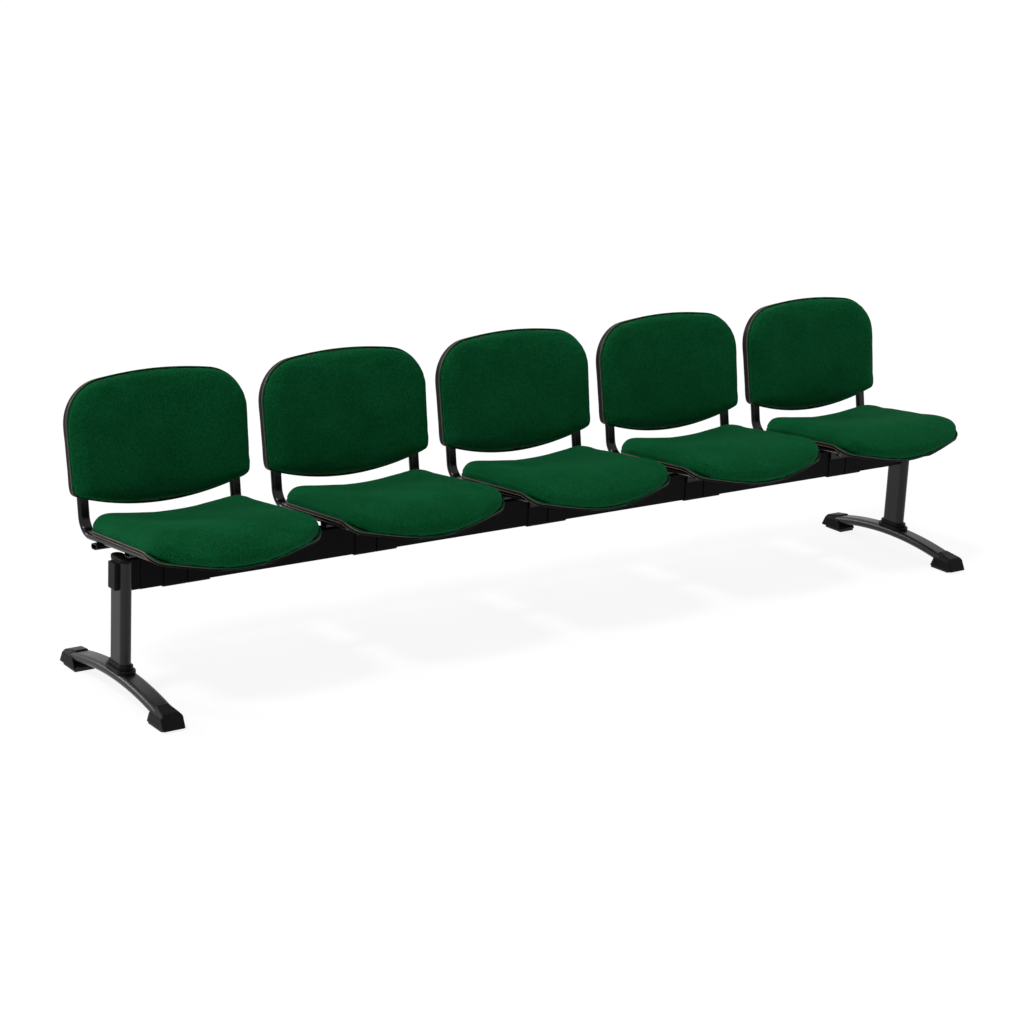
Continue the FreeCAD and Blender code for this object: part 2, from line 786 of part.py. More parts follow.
def make_saddle(name, seat):
    """Folded plate over the beam, with two gussets up to the cross bars."""
    body = body_named(name)
    inner = "(beam_depth / 2 + strap_thick)"
    outer = "(beam_depth / 2 + strap_thick + saddle_thick)"
    channel = sketch_on(body, "YZ_Plane", name + "_channel")
    polygon(
        channel,
        [
            (f"-{outer}", f"{BEAM_TOP} - saddle_lip"),
            (f"-{inner}", f"{BEAM_TOP} - saddle_lip"),
            (f"-{inner}", BEAM_TOP),
            (inner, BEAM_TOP),
            (inner, f"{BEAM_TOP} - saddle_lip"),
            (outer, f"{BEAM_TOP} - saddle_lip"),
            (outer, f"{BEAM_TOP} + saddle_thick"),
            (f"-{outer}", f"{BEAM_TOP} + saddle_thick"),
        ],
    )
    pad(body, channel, "clamp_width", both_sides=True)
    front = "-(front_bar_place + tube_width / 2)"
    rear = "(rear_bar_place + tube_width / 2)"
    web = [
        (front, bar_underside(front)),
        (front, f"{BEAM_TOP} + saddle_thick"),
        (outer, f"{BEAM_TOP} + saddle_thick"),
        (outer, f"{BEAM_TOP} - saddle_lip / 2"),
        (rear, f"{BEAM_TOP} - saddle_lip / 2"),
        (rear, bar_underside(rear)),
    ]
    gussets = sketch_on(body, "YZ_Plane", name + "_gussets")
    polygon(gussets, web)
    pad(body, gussets, "clamp_width", both_sides=True)
    between = sketch_on(body, "YZ_Plane", name + "_between")
    polygon(between, web)
    pocket(body, between, "clamp_width - 2 * gusset_thick", both_sides=True)
    holes = sketch_on(body, "XZ_Plane", name + "_holes")
    for x_side in (-1, 1):
        middle = f"{x_side} * (clamp_width + clamp_gap) / 4"
        circle(holes, middle, f"{BEAM_TOP} - clamp_bolt_drop", "clamp_bolt + 2 * fit_gap")
    pocket(body, holes, f"2 * {outer} + 2", both_sides=True)
    x = seat_x(seat) - v["clamp_offset"]
    body.Placement = FreeCAD.Placement(vec(x, 0, 0), FreeCAD.Rotation())
    return body


def make_strap(name, seat, x_side):
    """Half of the U strap that goes under the beam."""
    body = body_named(name)
    section = sketch_on(body, "YZ_Plane", name + "_section")
    inner = "(beam_depth / 2)"
    outer = "(beam_depth / 2 + strap_thick)"
    polygon(
        section,
        [
            (f"-{outer}", BEAM_TOP),
            (f"-{outer}", "beam_under - strap_thick"),
            (outer, "beam_under - strap_thick"),
            (outer, BEAM_TOP),
            (inner, BEAM_TOP),
            (inner, "beam_under"),
            (f"-{inner}", "beam_under"),
            (f"-{inner}", BEAM_TOP),
        ],
    )
    solid = pad(body, section, "(clamp_width - clamp_gap) / 2", both_sides=True)
    low = v["beam_under"] - v["strap_thick"]
    at_foot = lambda edge: is_along(edge, X_AXIS) and abs(edge.CenterOfMass.z - low) < 0.01
    bent = fillet(body, solid, "beam_corner + strap_thick", at_foot)
    in_bend = lambda edge: is_along(edge, X_AXIS) and abs(edge.CenterOfMass.z - v["beam_under"]) < 0.01
    fillet(body, bent, "beam_corner", in_bend)
    holes = sketch_on(body, "XZ_Plane", name + "_holes")
    circle(holes, "0", f"{BEAM_TOP} - clamp_bolt_drop", "clamp_bolt + 2 * fit_gap")
    pocket(body, holes, f"2 * {outer} + 2", both_sides=True)
    x = seat_x(seat) - v["clamp_offset"] + x_side * (v["clamp_width"] + v["clamp_gap"]) / 4
    body.Placement = FreeCAD.Placement(vec(x, 0, 0), FreeCAD.Rotation())
    return body


# Lofted forms of the seat and the back

def end_half_width(depth, radius, corner, side):
    """Half-width of an arched end, at a depth inside its tip.

    The end is one wide arc that a corner arc rounds into the straight side.
    """
    centre = radius - math.sqrt((radius - corner) ** 2 - (side - corner) ** 2)
    meeting = radius - (radius - centre) * radius / (radius - corner)
    if depth < meeting:
        return math.sqrt(radius**2 - (radius - depth) ** 2)
    if depth < centre:
        return side - corner + math.sqrt(corner**2 - (centre - depth) ** 2)
    return side


def square_half_width(depth, corner, side):
    """Half-width of a straight end with round corners, at a depth inside it."""
    if depth >= corner:
        return side
    return side - corner + math.sqrt(corner**2 - (corner - depth) ** 2)


def closing(depth, over):
    """Quarter-circle growth from nothing at a tip to one at a depth inside it."""
    if depth >= over:
        return 1.0
    return math.sqrt(1 - ((over - depth) / over) ** 2)


def stations(length, steps, middle):
    """Places of the sections: close together near both tips, open between."""
    return steps + middle + [length - step for step in reversed(steps)]


def line(start, end):
    return Part.LineSegment(start, end).toShape()


def arc(start, middle, end):
    return Part.Arc(start, middle, end).toShape()


def loft(sections, name):
    return feature_of(Part.makeLoft([Part.Wire(edges) for edges in sections], True, False), name)


# The seat has a flat run and a front that falls over an arc. Its plan is a
# tapered outline with round rear corners and an arched front.

FLAT = v["seat_rear"] + v["seat_flat_front"]
SEAT_RUN = FLAT + math.radians(v["fall_angle"]) * v["fall_radius"]
SEAT_NOSE = "(seat_flat_front + fall_radius * sin(fall_angle))"


def seat_point(s, x, height):
    """Point at a height square above the rim line, s along it from the rear."""
    past = max(s - FLAT, 0) / v["fall_radius"]
    y = v["seat_rear"] - min(s, FLAT) - v["fall_radius"] * math.sin(past)
    z = v["fall_radius"] * (math.cos(past) - 1)
    return vec(x, y - height * math.sin(past), z + height * math.cos(past))


def seat_half_width(s):
    y = seat_point(s, 0, 0).y
    nose = number(SEAT_NOSE)
    arch = v["seat_front_arc"]
    wide = v["seat_front_width"] / 2
    shoulder = arch - math.sqrt(arch**2 - wide**2) - nose
    narrow = v["seat_rear_width"] / 2
    share = min((v["seat_rear"] - y) / (v["seat_rear"] - shoulder), 1)
    side = narrow + (wide - narrow) * share
    rear = square_half_width(v["seat_rear"] - y, v["seat_corner"], side)
    front = end_half_width(y + nose, arch, v["seat_front_corner"], side)
    return min(rear, front)


def seat_crown(s):
    """Rise of the cushion's middle over its shoulders: hollow behind, full in front."""
    fade = min(max((s - v["dish_hold"]) / (FLAT - v["dish_hold"]), 0), 1)
    share = math.cos(math.pi / 2 * fade) ** 2
    crown = v["seat_crown"] - (v["seat_crown"] + v["dish_depth"]) * share
    if abs(crown) < v["fit_gap"]:
        crown = v["fit_gap"]
    return crown


def seat_cushion_section(s):
    half = seat_half_width(s)
    full = closing(min(s, SEAT_RUN - s), v["seat_edge"])
    draw = min(1, half / 80)
    gap = v["fit_gap"]
    shoulder = v["seat_thick"] - v["seat_crown"]
    place = lambda x, rise: seat_point(s, x, gap + rise * full)
    sides = {}
    for x_side in (1, -1):
        sides[x_side] = (
            place(x_side * half, 0),
            place(x_side * (half + 3 * draw), shoulder * 0.25),
            place(x_side * (half - 2 * draw), shoulder * 0.53),
            place(x_side * (half - 13 * draw), shoulder * 0.84),
            place(x_side * (half - 38 * draw), shoulder),
        )
    a = sides[1]
    b = sides[-1]
    return [
        line(b[0], a[0]),
        arc(a[0], a[1], a[2]),
        arc(a[2], a[3], a[4]),
        arc(a[4], place(0, shoulder + seat_crown(s)), b[4]),
        arc(b[4], b[3], b[2]),
        arc(b[2], b[1], b[0]),
    ]


def ring_of(sketch, corners, arcs):
    """Closed outline of lines and arcs through corners given as expressions.

    An arc replaces the line that starts at its corner; it is given as
    corner index: (centre x, centre y, radius). Arcs are always drawn
    turning left, so one that turns right starts at its second end.
    """
    places = [vec(number(x), number(y), 0) for x, y in corners]
    count = len(places)
    starts = [1] * count
    for i, place in enumerate(places):
        following = places[(i + 1) % count]
        if i not in arcs:
            sketch.addGeometry(Part.LineSegment(place, following), False)
            continue
        centre_x, centre_y, radius = arcs[i]
        hub = vec(number(centre_x), number(centre_y), 0)
        ends = [place, following]
        if (place - hub).cross(following - hub).z < 0:
            starts[i] = 2
            ends.reverse()
        middle = ((place + following) * 0.5 - hub).normalize() * number(radius)
        sketch.addGeometry(Part.Arc(ends[0], hub + middle, ends[1]), False)
    for i in range(count):
        following = (i + 1) % count
        sketch.addConstraint(
            Sketcher.Constraint("Coincident", i, 3 - starts[i], following, starts[following])
        )
    for i, (x_text, y_text) in enumerate(corners):
        pin(sketch, i, starts[i], x_text, y_text)
    for i, (_, _, radius) in arcs.items():
        row = sketch.addConstraint(Sketcher.Constraint("Radius", i, number(radius)))
        sketch.setExpression(f"Constraints[{row}]", bound(radius))


def seat_strip(name, top, bottom):
    """Sheet between two heights that follows the flat run and the fall."""
    body = body_named(name)
    outline = sketch_on(body, "YZ_Plane", name + "_outline")
    rear = "seat_rear + fall_radius"
    upper = f"(fall_radius + {top})"
    lower = f"(fall_radius + {bottom})"
    end = "(90 + fall_angle)"
    hub = ("-seat_flat_front", "-fall_radius")
    corners = [
        (rear, top),
        ("-seat_flat_front", top),
        (f"-seat_flat_front + {upper} * cos({end})", f"{upper} * sin({end}) - fall_radius"),
        (f"-seat_flat_front + {lower} * cos({end})", f"{lower} * sin({end}) - fall_radius"),
        ("-seat_flat_front", bottom),
        (rear, bottom),
    ]
    ring_of(outline, corners, {1: (*hub, upper), 3: (*hub, lower)})
    pad(body, outline, "2 * seat_front_width", both_sides=True)
    return body


def seat_plan(name, inset):
    """Upright block with the seat's plan, drawn in by an inset."""
    body = body_named(name)
    outline = sketch_on(body, "XY_Plane", name + "_outline")
    arch = f"(seat_front_arc - {inset})"
    wide = f"(seat_front_width / 2 - {inset})"
    narrow = f"(seat_rear_width / 2 - {inset})"
    hub = f"(seat_front_arc - {SEAT_NOSE})"
    shoulder = f"{hub} - sqrt({arch} ^ 2 - {wide} ^ 2)"
    corners = [
        (narrow, f"seat_rear - {inset}"),
        (f"-{narrow}", f"seat_rear - {inset}"),
        (f"-{wide}", shoulder),
        (wide, shoulder),
    ]
    ring_of(outline, corners, {2: ("0", hub, arch)})
    block = pad(body, outline, "4 * fall_radius", both_sides=True)
    behind = lambda edge: is_along(edge, Z_AXIS) and edge.CenterOfMass.y > 0
    ahead = lambda edge: is_along(edge, Z_AXIS) and edge.CenterOfMass.y < 0
    rounded = fillet(body, block, f"max(seat_corner - {inset}; pan_lip)", behind)
    fillet(body, rounded, f"max(seat_front_corner - {inset}; pan_lip)", ahead)
    return body


def common(name, members):
    result = doc.addObject("Part::MultiCommon", name)
    result.Shapes = members
    doc.recompute()
    return result


def make_seat_cushion():
    tips = [0.1, 0.8, 2.5, 5.5, 10.0, 16.0, 24.0, 34.0]
    middle = [48.0, 75.0, 110.0, 160.0, 215.0, 265.0, FLAT, FLAT + 20]
    whole = stations(SEAT_RUN, tips, middle)
    return loft([seat_cushion_section(s) for s in whole], "seat_cushion_form")


def cylinder(name, diameter, length, x, y, z):
    """Upright cylinder that starts at a place and rises from it."""
    item = doc.addObject("Part::Cylinder", name)
    item.setExpression("Radius", bound(f"({diameter}) / 2"))
    item.setExpression("Height", bound(length))
    item.setExpression("Placement.Base.x", bound(x))
    item.setExpression("Placement.Base.y", bound(y))
    item.setExpression("Placement.Base.z", bound(z))
    doc.recompute()
    return item


def screw_columns(name, diameter, length, low):
    """One upright cylinder for each of the four screws under a seat."""
    columns = []
    for y in ("-front_bar_place", "rear_bar_place"):
        for x_side in (-1, 1):
            count = len(columns) + 1
            place = f"{x_side} * boss_spread / 2"
            columns.append(cylinder(f"{name}_{count}", diameter, length, place, y, low))
    return columns


def fuse(name, members):
    result = doc.addObject("Part::MultiFuse", name)
    result.Shapes = members
    doc.recompute()
    return result


def placed_copies(master, label, place_of):
    for seat in SEATS:
        item = feature_of(master.Shape.copy(), f"{label}_{seat}_copy")
        item.Placement = place_of(seat)
        keep(item, f"{label}_{seat}")


def make_seats():
    """Cushion on a board in a pan: a thin lip all round and a tray inside it."""
    floor = "-(pan_depth - pan_wall)"
    lip = common("pan_lip", [seat_strip("lip_sheet", "0", "-pan_lip"), seat_plan("lip_plan", "0")])
    tray = common(
        "pan_tray",
        [
            seat_strip("tray_sheet", "-pan_lip / 2", "-pan_depth"),
            seat_plan("tray_plan", "pan_inset"),
        ],
    )
    hollow = common(
        "pan_hollow",
        [
            seat_strip("hollow_sheet", "1", floor),
            seat_plan("hollow_plan", "(pan_inset + pan_wall)"),
        ],
    )
    board = common(
        "seat_board",
        [
            seat_strip("board_sheet", "0", f"{floor} + fit_gap"),
            seat_plan("board_plan", "(pan_inset + pan_wall + 4 * fit_gap)"),
        ],
    )
    bar_top = "-(pan_depth + fit_gap + tube_thick)"
    boss_height = "tube_thick + fit_gap + pan_wall / 2"
    bosses = screw_columns("boss", "boss_width", boss_height, bar_top)
    bores = screw_columns("screw_bore", "screw + 2 * fit_gap", "2 * tube_thick + screw_reach", bar_top)
    bore_set = fuse("seat_bores", bores)
    pan = cut("pan_open", fuse("pan_solid", [lip, tray]), hollow)
    pan = cut("pan_bored", fuse("pan_with_bosses", [pan] + bosses), bore_set)
    board = cut("seat_board_bored", board, bore_set)
    placed_copies(make_seat_cushion(), "seat_cushion", seat_place)
    placed_copies(board, "seat_board", seat_place)
    placed_copies(pan, "seat_shell", seat_place)


# Up the back, t runs from the lowest point of its outline to the highest

BACK_RUN = v["back_low"] + v["back_high"]


def back_half_width(t, inset):
    low = v["back_low_width"] / 2 - inset
    high = v["back_high_width"] / 2 - inset
    share = min(max((t - v["back_low"]) / (v["back_high"] - v["back_top_corner"]), 0), 1)
    side = low + (high - low) * share
    bottom = end_half_width(
        t - inset, v["back_low_arc"] - inset, v["back_low_corner"] - inset, side
    )
    top = end_half_width(
        BACK_RUN - inset - t, v["back_top_arc"] - inset, v["back_top_corner"] - inset, side
    )
    return min(bottom, top)


def back_point(t, u, forward):
    return vec(u, -forward, t - v["back_low"])


def back_shell_section(t, inset, depth, over, proud):
    """Closed section: hollow front, straight sides, round rear corners."""
    half = back_half_width(t, inset)
    full = closing(min(t, BACK_RUN - t) - inset, over)
    rear = -depth * full
    curve = (v["back_shell_round"] - inset) * min(full, half / 60)
    shoulder = rear + curve
    mid = curve * (1 - math.sqrt(0.5))
    place = lambda u, w: back_point(t, u, w)
    edge = back_rim(half) + proud
    corner = {}
    for side in (1, -1):
        corner[side] = (
            place(side * half, edge),
            place(side * half, shoulder),
            place(side * (half - mid), rear + mid),
            place(side * (half - curve), rear),
        )
    a = corner[1]
    b = corner[-1]
    return [
        arc(b[0], place(0, proud), a[0]),
        line(a[0], a[1]),
        arc(a[1], a[2], a[3]),
        line(a[3], b[3]),
        arc(b[3], b[2], b[1]),
        line(b[1], b[0]),
    ]


def back_board_section(t):
    half = back_half_width(t, v["back_board_inset"])
    thick = v["back_board_thick"]
    edge = back_rim(half)
    place = lambda u, w: back_point(t, u, w)
    return [
        arc(place(-half, edge), place(0, 0), place(half, edge)),
        line(place(half, edge), place(half, edge - thick)),
        arc(place(half, edge - thick), place(0, -thick), place(-half, edge - thick)),
        line(place(-half, edge - thick), place(-half, edge)),
    ]


def back_cushion_section(t):
    half = back_half_width(t, 0)
    full = closing(min(t, BACK_RUN - t), v["back_edge"])
    draw = min(1, half / 70)
    gap = v["fit_gap"]
    thick = v["back_thick"]
    edge = back_rim(half) + gap
    place = lambda u, share: back_point(t, u, edge + share * full)
    sides = {}
    for side in (1, -1):
        sides[side] = (
            place(side * half, 0),
            place(side * (half + 2.5 * draw), thick * 0.28),
            place(side * (half - 2 * draw), thick * 0.55),
            place(side * (half - 10 * draw), thick * 0.8),
            place(side * (half - 28 * draw), thick * 0.93 - 1),
        )
    a = sides[1]
    b = sides[-1]
    front = back_point(t, 0, gap + thick * full)
    return [
        arc(b[0], back_point(t, 0, gap), a[0]),
        arc(a[0], a[1], a[2]),
        arc(a[2], a[3], a[4]),
        arc(a[4], front, b[4]),
        arc(b[4], b[3], b[2]),
        arc(b[2], b[1], b[0]),
    ]


def make_backs():
    tips = [0.1, 0.8, 2.5, 5.5, 9.5, 15.0, 22.0, 32.0, 45.0]
    middle = [60.0, 90.0, 130.0, 180.0, 230.0, 255.0, 280.0]
    whole = stations(BACK_RUN, tips, middle)
    wall = v["back_shell_wall"]
    inner = stations(BACK_RUN, [wall + step for step in tips], middle)
    margin = v["back_board_inset"]
    inside = stations(BACK_RUN, [margin + step for step in tips], middle)
    rear = back_forward() + v["tube_thick"] / 2 + v["fit_gap"]
    over = v["back_shell_close"]
    outer = loft(
        [back_shell_section(t, 0, rear + wall, over, 0) for t in whole], "back_shell_form"
    )
    cavity = loft(
        [back_shell_section(t, wall, rear, over - wall, 1) for t in inner], "back_cavity_form"
    )
    board_form = loft([back_board_section(t) for t in inside], "back_board_form")
    cushion = loft([back_cushion_section(t) for t in whole], "back_cushion_form")
    notches = []
    bores = []
    for side, name in ((-1, "left"), (1, "right")):
        body = body_named(f"{name}_stay_notch")
        outline = sketch_on(body, "XY_Plane", f"{name}_notch_outline")
        stadium(outline, "tube_width + 4 * fit_gap", "tube_thick + 4 * fit_gap")
        pad(body, outline, "back_low + back_low_corner / 2")
        spot = vec(side * v["tube_spread"] / 2, back_forward(), -v["back_low"] - 1)
        body.Placement = FreeCAD.Placement(spot, FreeCAD.Rotation())
        notches.append(body)
        for height in ("stay_screw_low", "stay_screw_high"):
            bore = cylinder(
                f"{name}_{height}_bore",
                "screw + 2 * fit_gap",
                "back_thick + back_board_thick",
                f"{side} * tube_spread / 2",
                "0",
                height,
            )
            bore.Placement.Rotation = turn(X_AXIS, 90)
            bore.setExpression("Placement.Base.y", bound("back_thick"))
            bores.append(bore)
    doc.recompute()
    bore_set = fuse("back_bores", bores)
    shell = cut("back_shell_open", outer, cavity)
    shell = cut("back_shell_notched", shell, fuse("stay_notches", notches))
    shell = cut("back_shell_bored", shell, bore_set)
    board = cut("back_board_bored", board_form, bore_set)
    placed_copies(cushion, "back_cushion", back_place)
    placed_copies(board, "back_board", back_place)
    placed_copies(shell, "back_shell", back_place)


# Build

make_beam()
for name, side in LEGS.items():
    foot = make_foot(name, side)
    make_upright(name, side, foot)
    make_collar(name, side, foot)
    make_lid(name, side)
    make_socket(name, side)
    make_cover(name, side)
    tips = [make_tip(f"{name}_{word}_tip", side, end, foot) for word, end in ENDS.items()]
    group(f"{name}_foot_caps", tips)
pads = []
for name, side in LEGS.items():
    for word, end in ENDS.items():
        pads.append(make_pad(f"{name}_{word}_pad", side, end))
group("foot_pads", pads)
for seat in SEATS:
    front_bar = make_cross_bar(f"front_bar_{seat}", seat, "front_bar_length", -v["front_bar_place"])
    rear_bar = make_cross_bar(f"rear_bar_{seat}", seat, "rear_bar_length", v["rear_bar_place"])
    left_tube = make_side_tube(f"left_tube_{seat}", seat, -1)
    right_tube = make_side_tube(f"right_tube_{seat}", seat, 1)
    saddle = make_saddle(f"saddle_{seat}", seat)
    group(f"seat_frame_{seat}", [left_tube, right_tube, front_bar, rear_bar, saddle])
    straps = [make_strap(f"{word}_strap_{seat}", seat, side) for word, side in LEGS.items()]
    group(f"beam_clamp_{seat}", straps)
make_seats()
make_backs()
make_leg_bolts()
make_clamp_bolts()
make_seat_screws()
make_back_screws()

# Check and export

doc.recompute()
for item in doc.Objects:
    if "Invalid" in item.State or "Error" in item.State:
        raise RuntimeError(f"{item.Label} is not sound: {item.State}")
os.makedirs("parts", exist_ok=True)
for item in parts:
    shape = item.Shape
    if shape.isNull() or not shape.isValid() or not shape.Solids:
        raise RuntimeError(f"{item.Label} has no valid solid")
    shape.exportStep(f"parts/{item.Label}.step")
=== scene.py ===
import json
import math

import bpy
import numpy as np
from mathutils import Matrix, Vector, noise


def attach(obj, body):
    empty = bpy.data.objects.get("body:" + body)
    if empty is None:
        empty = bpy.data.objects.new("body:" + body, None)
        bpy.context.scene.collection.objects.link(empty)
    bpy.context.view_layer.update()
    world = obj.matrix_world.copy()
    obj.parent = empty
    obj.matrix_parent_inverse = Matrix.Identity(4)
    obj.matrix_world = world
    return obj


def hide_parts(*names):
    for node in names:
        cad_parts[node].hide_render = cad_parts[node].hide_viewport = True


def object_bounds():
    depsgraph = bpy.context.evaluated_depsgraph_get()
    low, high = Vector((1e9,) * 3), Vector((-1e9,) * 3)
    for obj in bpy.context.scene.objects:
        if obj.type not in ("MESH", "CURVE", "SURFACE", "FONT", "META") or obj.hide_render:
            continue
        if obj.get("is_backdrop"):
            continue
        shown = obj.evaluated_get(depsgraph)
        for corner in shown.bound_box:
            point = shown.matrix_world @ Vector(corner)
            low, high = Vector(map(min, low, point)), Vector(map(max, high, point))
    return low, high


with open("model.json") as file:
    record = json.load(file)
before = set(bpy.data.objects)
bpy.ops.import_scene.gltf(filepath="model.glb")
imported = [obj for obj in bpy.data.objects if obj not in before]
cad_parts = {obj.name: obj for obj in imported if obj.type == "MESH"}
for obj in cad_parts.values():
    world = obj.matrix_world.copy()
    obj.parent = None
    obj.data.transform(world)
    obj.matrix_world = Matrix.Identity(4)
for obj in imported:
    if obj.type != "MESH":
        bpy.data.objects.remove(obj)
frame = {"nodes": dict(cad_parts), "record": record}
cad_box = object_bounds()

MM = 0.001
# Least length that anything is divided by
TINY = 1e-9
SEATS = (1, 2, 3, 4, 5)
MIDDLE_SEAT = 3
PITCH = 550.0

# Rim of a seat, in its tilted plane (lengths in mm)
RIM_HEIGHT = 402.0
SEAT_TILT = math.radians(6.0)
SEAT_REAR = 165.0
SEAT_FLAT_FRONT = 150.0
FALL_RADIUS = 100.0
FALL_ANGLE = math.radians(65.0)
SEAT_REAR_HALF = 226.0
SEAT_FRONT_HALF = 237.0
SEAT_CORNER = 62.0
SEAT_FRONT_ARC = 900.0
SEAT_FRONT_CORNER = 40.0
FLAT = SEAT_REAR + SEAT_FLAT_FRONT
SEAT_RUN = FLAT + FALL_ANGLE * FALL_RADIUS
SEAT_NOSE = SEAT_FLAT_FRONT + FALL_RADIUS * math.sin(FALL_ANGLE)

# Rim of a back, in its reclined plane (lengths in mm)
RECLINE = math.radians(10.0)
BACK_ORIGIN = (197.42, 460.22)
BACK_LOW = 42.0
BACK_HIGH = 291.0
BACK_RUN = BACK_LOW + BACK_HIGH
BACK_LOW_HALF = 247.0
BACK_HIGH_HALF = 250.0
BACK_LOW_ARC = 731.0
BACK_LOW_CORNER = 20.0
BACK_TOP_ARC = 1080.0
BACK_TOP_CORNER = 110.0
BACK_HOLLOW = 15.0
BACK_RIM_ARC = (BACK_HIGH_HALF**2 + BACK_HOLLOW**2) / (2 * BACK_HOLLOW)

# Lines round a rim: stations on each side, and the step between points
LOOP_STATIONS = 160
LOOP_STEP = 4 * MM
# Half-width, in mm, from which a line has its full outward move. Below it the
# move is less, down to nothing at the middle of an end.
END_BLEND = 60.0


def seat_x(seat):
    return (seat - MIDDLE_SEAT) * PITCH


# Outlines of seat and back

def end_half(depth, radius, corner, side):
    """Half-width of an arched end with corner arcs, at a depth inside it."""
    centre = radius - math.sqrt((radius - corner) ** 2 - (side - corner) ** 2)
    meeting = radius - (radius - centre) * radius / (radius - corner)
    if depth < meeting:
        return math.sqrt(max(radius**2 - (radius - depth) ** 2, 0))
    if depth < centre:
        return side - corner + math.sqrt(corner**2 - (centre - depth) ** 2)
    return side


def square_half(depth, corner, side):
    """Half-width of a straight end with corner arcs, at a depth inside it."""
    if depth >= corner:
        return side
    return side - corner + math.sqrt(corner**2 - (corner - depth) ** 2)


def rim_of_seat(s):
    """Place along the middle of the rim surface, and how far it has turned down."""
    past = max(s - FLAT, 0) / FALL_RADIUS
    y = SEAT_REAR - min(s, FLAT) - FALL_RADIUS * math.sin(past)
    z = FALL_RADIUS * (math.cos(past) - 1)
    return y, z, past


def seat_half(s):
    """Half-width of a seat at a length along it from the rear."""
    y, _, _ = rim_of_seat(s)
    shoulder = SEAT_FRONT_ARC - math.sqrt(SEAT_FRONT_ARC**2 - SEAT_FRONT_HALF**2) - SEAT_NOSE
    share = min((SEAT_REAR - y) / (SEAT_REAR - shoulder), 1)
    side = SEAT_REAR_HALF + (SEAT_FRONT_HALF - SEAT_REAR_HALF) * share
    rear = square_half(SEAT_REAR - y, SEAT_CORNER, side)
    return min(rear, end_half(y + SEAT_NOSE, SEAT_FRONT_ARC, SEAT_FRONT_CORNER, side))


def seat_world(seat, x, s, height):
    """World place, in metres, at a height square above the rim surface."""
    y, z, past = rim_of_seat(s)
    y -= height * math.sin(past)
    z += height * math.cos(past)
    world_y = y * math.cos(SEAT_TILT) + z * math.sin(SEAT_TILT)
    world_z = RIM_HEIGHT - y * math.sin(SEAT_TILT) + z * math.cos(SEAT_TILT)
    return Vector((seat_x(seat) + x, world_y, world_z)) * MM


def back_half(t):
    """Half-width of a back at a length along it from its lower end."""
    share = min(max((t - BACK_LOW) / (BACK_HIGH - BACK_TOP_CORNER), 0), 1)
    side = BACK_LOW_HALF + (BACK_HIGH_HALF - BACK_LOW_HALF) * share
    low = end_half(t, BACK_LOW_ARC, BACK_LOW_CORNER, side)
    return min(low, end_half(BACK_RUN - t, BACK_TOP_ARC, BACK_TOP_CORNER, side))


def back_rim(u):
    """How far forward the rim of a hollow back is at a distance from its middle."""
    return BACK_RIM_ARC - math.sqrt(BACK_RIM_ARC**2 - u**2)


def back_world(seat, u, t, forward):
    """World place, in metres, at a distance ahead of the back's rim plane."""
    rise = t - BACK_LOW
    y = BACK_ORIGIN[0] - forward * math.cos(RECLINE) + rise * math.sin(RECLINE)
    z = BACK_ORIGIN[1] + forward * math.sin(RECLINE) + rise * math.cos(RECLINE)
    return Vector((seat_x(seat) + u, y, z)) * MM


def ease(count):
    """Values from 0 to 1 that crowd towards both ends."""
    return [(1 - math.cos(math.pi * i / count)) / 2 for i in range(count + 1)]


def even_loop(points, step):
    """The same closed line with points an even step apart."""
    closed = points + [points[0]]
    lengths = [0.0]
    for a, b in zip(closed, closed[1:]):
        lengths.append(lengths[-1] + (b - a).length)
    count = int(lengths[-1] / step)
    result = []
    place = 0
    for i in range(count):
        wanted = lengths[-1] * i / count
        while lengths[place + 1] < wanted:
            place += 1
        gap = max(lengths[place + 1] - lengths[place], TINY)
        result.append(closed[place].lerp(closed[place + 1], (wanted - lengths[place]) / gap))
    return result


def rim_loop(run, half_at, place_at, outward):
    """Closed line along the right side of a rim and back along its left side."""
    right = []
    left = []
    for share in ease(LOOP_STATIONS):
        along = run * share
        half = half_at(along)
        grown = half + outward * min(1, half / END_BLEND)
        right.append(place_at(grown, along, half))
        left.append(place_at(-grown, along, half))
    return even_loop(right + left[::-1], LOOP_STEP)


def seat_loop(seat, outward, height):
    """Closed line round a seat's rim, moved outward and up by millimetres."""
    def place_at(x, s, _):
        return seat_world(seat, x, s, height)

    return rim_loop(SEAT_RUN, seat_half, place_at, outward)


def back_loop(seat, outward, forward):
    """Closed line round a back's rim, moved outward and forward by millimetres."""
    def place_at(u, t, half):
        return back_world(seat, u, t, back_rim(min(half, BACK_HIGH_HALF)) + forward)

    return rim_loop(BACK_RUN, back_half, place_at, outward)


# Material helpers

def new_material(name, base, roughness):
    material = bpy.data.materials.new(name)
    material.use_nodes = True
    tree = material.node_tree
    shader = tree.nodes["Principled BSDF"]
    shader.inputs["Base Color"].default_value = (*base, 1)
    shader.inputs["Roughness"].default_value = roughness
    return material, tree, shader


def node(tree, kind, **values):
    """New node, with values for its sockets or else its settings."""
    item = tree.nodes.new(kind)
    for key, value in values.items():
        if key in item.inputs:
            item.inputs[key].default_value = value
        else:
            setattr(item, key, value)
    return item


def object_coords(tree):
    return node(tree, "ShaderNodeTexCoord").outputs["Object"]


def noise_texture(tree, coords, scale, detail, rough=0.5):
    item = node(tree, "ShaderNodeTexNoise", Scale=scale, Detail=detail, Roughness=rough)
    tree.links.new(coords, item.inputs["Vector"])
    return item.outputs["Fac"]


